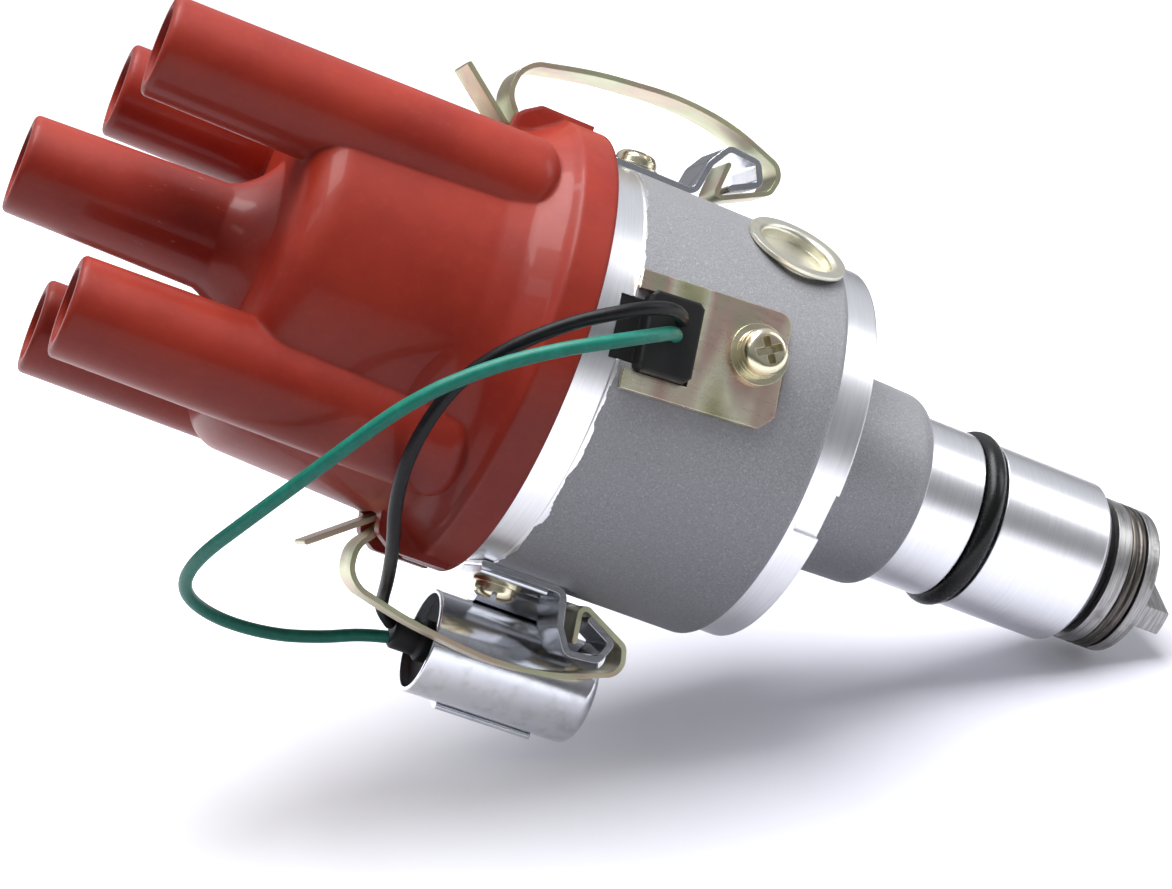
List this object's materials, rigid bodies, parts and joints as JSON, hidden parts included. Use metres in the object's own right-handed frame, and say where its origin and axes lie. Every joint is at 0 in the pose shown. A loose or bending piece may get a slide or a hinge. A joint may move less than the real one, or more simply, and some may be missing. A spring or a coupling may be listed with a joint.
{
  "type": "ignition distributor",
  "caption": "Contact breaker ignition distributor: moulded cap with lead towers held by spring clips, cast bowl, side condenser with leads, sealed shank and offset tang drive.",
  "frame": {"origin": "on the shaft axis, in the plane where the 27 mm shank meets the underside of the cast neck", "axes": "+Z along the shaft axis towards the cap and its towers; +X towards the cap clip opposite the condenser; +Y completes a right-handed frame"},
  "size_m": [0.0993, 0.0793, 0.19],
  "materials": {
    "cast_housing": "as-cast grey skin, turned bright on band, flange and shank",
    "seal_rubber": "smooth oiled",
    "bush_bronze": "turned",
    "washer_steel": "plain",
    "thrust_fibre": "dark pressed fibre",
    "plate_zinc": "zinc plated",
    "screw_yellow": "yellow passivated zinc",
    "grommet_rubber": "moulded matt",
    "zinc_yellow": "yellow passivated zinc with colour bands",
    "zinc_blue": "blue-white zinc",
    "zinc_pale": "pale yellow zinc",
    "can_steel": "drawn steel, blue-white zinc",
    "foil": "rolled foil and paper",
    "insulator": "pressed board",
    "lead_green": "soft PVC",
    "lead_black": "soft PVC",
    "shaft_steel": "ground",
    "dog_steel": "turned, oiled",
    "spring_steel": "drawn wire",
    "weight_steel": "stamped",
    "felt": "oiled felt",
    "rotor_moulding": "moulded phenolic",
    "brass": "turned",
    "fibre": "pressed fibre",
    "tungsten": "ground",
    "cap_phenolic": "glossy red-brown phenolic",
    "carbon": "pressed carbon",
    "clip_zinc": "yellow passivated spring steel"
  },
  "bodies": {
    "housing": {"access_cover": "zinc_pale", "black_lead": "lead_black", "bracket_screws": "screw_yellow", "bracket_washers": "screw_yellow", "breaker_plate": "plate_zinc", "breaker_plate_screws": "screw_yellow", "condenser_boot": "grommet_rubber", "condenser_can": "can_steel", "condenser_insulator": "insulator", "condenser_strap": "zinc_blue", "condenser_winding": "foil", "contact_screw": "washer_steel", "contact_spring": "spring_steel", "fixed_contact": "plate_zinc", "green_lead": "lead_green", "grommet_plate": "zinc_yellow", "grommet_plate_screw": "screw_yellow", "grommet_plate_washers": "screw_yellow", "housing": "cast_housing", "lead_grommet": "grommet_rubber", "lower_bush": "bush_bronze", "lower_clip_bracket": "zinc_blue", "lower_thrust_washer": "thrust_fibre", "shank_seal": "seal_rubber", "upper_bush": "bush_bronze", "upper_clip_bracket": "zinc_blue", "upper_thrust_washer": "washer_steel"},
    "shaft": {"advance_plate": "plate_zinc", "advance_springs": "spring_steel", "dog_pin": "shaft_steel", "dog_ring": "spring_steel", "drive_dog": "dog_steel", "main_shaft": "shaft_steel"},
    "weight_a": {"advance_weight_a": "weight_steel"},
    "weight_b": {"advance_weight_b": "weight_steel"},
    "cam": {"cam": "shaft_steel", "cam_felt": "felt", "rotor_arm": "rotor_moulding", "rotor_electrode": "brass"},
    "moving_point": {"contact_arm": "plate_zinc", "moving_contact": "tungsten", "rubbing_block": "fibre"},
    "cap": {"brush_spring": "spring_steel", "centre_terminal": "brass", "distributor_cap": "cap_phenolic", "outer_terminals": "brass"},
    "brush": {"carbon_brush": "carbon"},
    "upper_clip": {"upper_clip": "clip_zinc"},
    "lower_clip": {"lower_clip": "clip_zinc"}
  },
  "joints": [
    {"name": "shaft_spin", "type": "hinge", "parent": "housing", "child": "shaft", "pos_m": [0, 0, 0], "axis": [0, 0, 1], "continuous": true},
    {"name": "cam_advance", "type": "hinge", "parent": "shaft", "child": "cam", "pos_m": [0, 0, 0.0374], "axis": [0, 0, 1], "range_deg": [0, 12.5], "stiffness_Nm_per_rad": 0.02, "deforming": ["advance_springs"]},
    {"name": "weight_a_swing", "type": "hinge", "parent": "shaft", "child": "weight_a", "pos_m": [0.017, 0, 0.0335], "axis": [0, 0, 1], "range_deg": [-8.8, 0]},
    {"name": "weight_b_swing", "type": "hinge", "parent": "shaft", "child": "weight_b", "pos_m": [-0.017, 0, 0.0335], "axis": [0, 0, 1], "range_deg": [-8.8, 0]},
    {"name": "contact_open", "type": "hinge", "parent": "housing", "child": "moving_point", "pos_m": [0.00736, -0.01926, 0.0538], "axis": [0, 0, 1], "range_deg": [0, 0.86], "stiffness_Nm_per_rad": 0.05, "springref_deg": 49.27, "deforming": ["contact_spring"]},
    {"name": "cap_lift", "type": "slide", "parent": "housing", "child": "cap", "axis": [0, 0, 1], "range_m": [0, 0.02]},
    {"name": "brush_travel", "type": "slide", "parent": "cap", "child": "brush", "axis": [0, 0, 1], "range_m": [0, 0.0025], "stiffness_N_per_m": 60, "deforming": ["brush_spring"]},
    {"name": "upper_clip_swing", "type": "hinge", "parent": "housing", "child": "upper_clip", "pos_m": [0.0346, 0, 0.0426], "axis": [0, 1, 0], "range_deg": [0, 34.1]},
    {"name": "lower_clip_swing", "type": "hinge", "parent": "housing", "child": "lower_clip", "pos_m": [-0.0346, 0, 0.0426], "axis": [0, -1, 0], "range_deg": [0, 34.1]}
  ],
  "couplings": [
    {"joint": "weight_a_swing", "follows": "cam_advance", "ratio": -0.7},
    {"joint": "weight_b_swing", "follows": "cam_advance", "ratio": -0.7},
    {"joint": "upper_clip_swing", "follows": "cap_lift", "rad_per_m": 29.67},
    {"joint": "lower_clip_swing", "follows": "cap_lift", "rad_per_m": 29.67}
  ]
}
